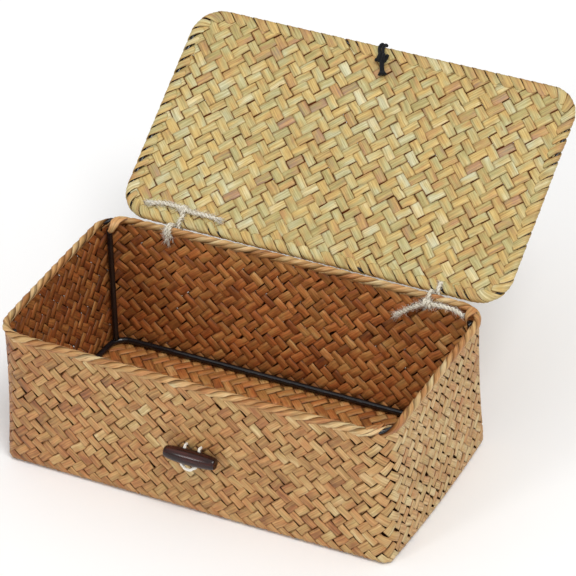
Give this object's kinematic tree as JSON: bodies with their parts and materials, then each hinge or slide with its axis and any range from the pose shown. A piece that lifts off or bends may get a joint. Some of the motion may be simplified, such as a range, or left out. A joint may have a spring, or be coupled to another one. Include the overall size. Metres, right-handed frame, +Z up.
{
  "type": "woven lidded box",
  "caption": "Rectangular woven straw keepsake box on a wire frame, with a twine-hinged flat lid closed by an elastic loop over a barrel toggle.",
  "frame": {"origin": "centre of the flat underside of the woven base, on the surface that the box stands on", "axes": "+X along the length to the right seen from the front, +Y from the front with the toggle to the hinge side, +Z up"},
  "size_m": [0.2561, 0.2696, 0.1725],
  "materials": {
    "body_straw": "twill woven from flat tan straw strips",
    "rim_straw": "slanting straw strips folded over the rim wire",
    "lid_straw": "twill woven from pale yellow-green straw strips",
    "dark_wire": "dark brown-black coating, semi-gloss",
    "jute_twine": "twisted natural jute with frayed ends",
    "white_cord": "off-white cotton cord",
    "toggle_wood": "dark brown stained and lacquered, glossy",
    "black_elastic": "black covered elastic cord, matt"
  },
  "bodies": {
    "box": {"woven_body": "body_straw", "rim_roll": "rim_straw", "frame_foot_ring": "dark_wire", "frame_rim_ring": "dark_wire", "frame_post_back_left": "dark_wire", "frame_post_back_right": "dark_wire", "frame_post_front_left": "dark_wire", "frame_post_front_right": "dark_wire", "tie_left_rim_turn": "jute_twine", "tie_right_rim_turn": "jute_twine", "tie_right_knot": "jute_twine", "toggle_cord_knot": "white_cord"},
    "lid": {"lid_panel": "lid_straw", "lid_hem": "lid_straw", "lid_edge_wire": "dark_wire", "tie_left_lid_turn": "jute_twine", "tie_right_lid_turn": "jute_twine", "tie_left_knot": "jute_twine", "closure_loop_knot": "black_elastic"},
    "closure": {"closure_loop": "black_elastic"},
    "toggle": {"toggle_barrel": "toggle_wood", "toggle_cord": "white_cord"}
  },
  "joints": [
    {"name": "lid_hinge", "type": "hinge", "parent": "box", "child": "lid", "pos_m": [0, 0.0701, 0.0937], "axis": [1, 0, 0], "range_deg": [0, 146]},
    {"name": "closure_loop_swing", "type": "hinge", "parent": "lid", "child": "closure", "pos_m": [0.002, 0.19108, 0.16743], "axis": [1, 0, 0], "range_deg": [0, 204]},
    {"name": "toggle_tilt", "type": "hinge", "parent": "box", "child": "toggle", "pos_m": [0.003, -0.06981, 0.04927], "axis": [-1, 0, 0], "range_deg": [0, 60]}
  ]
}
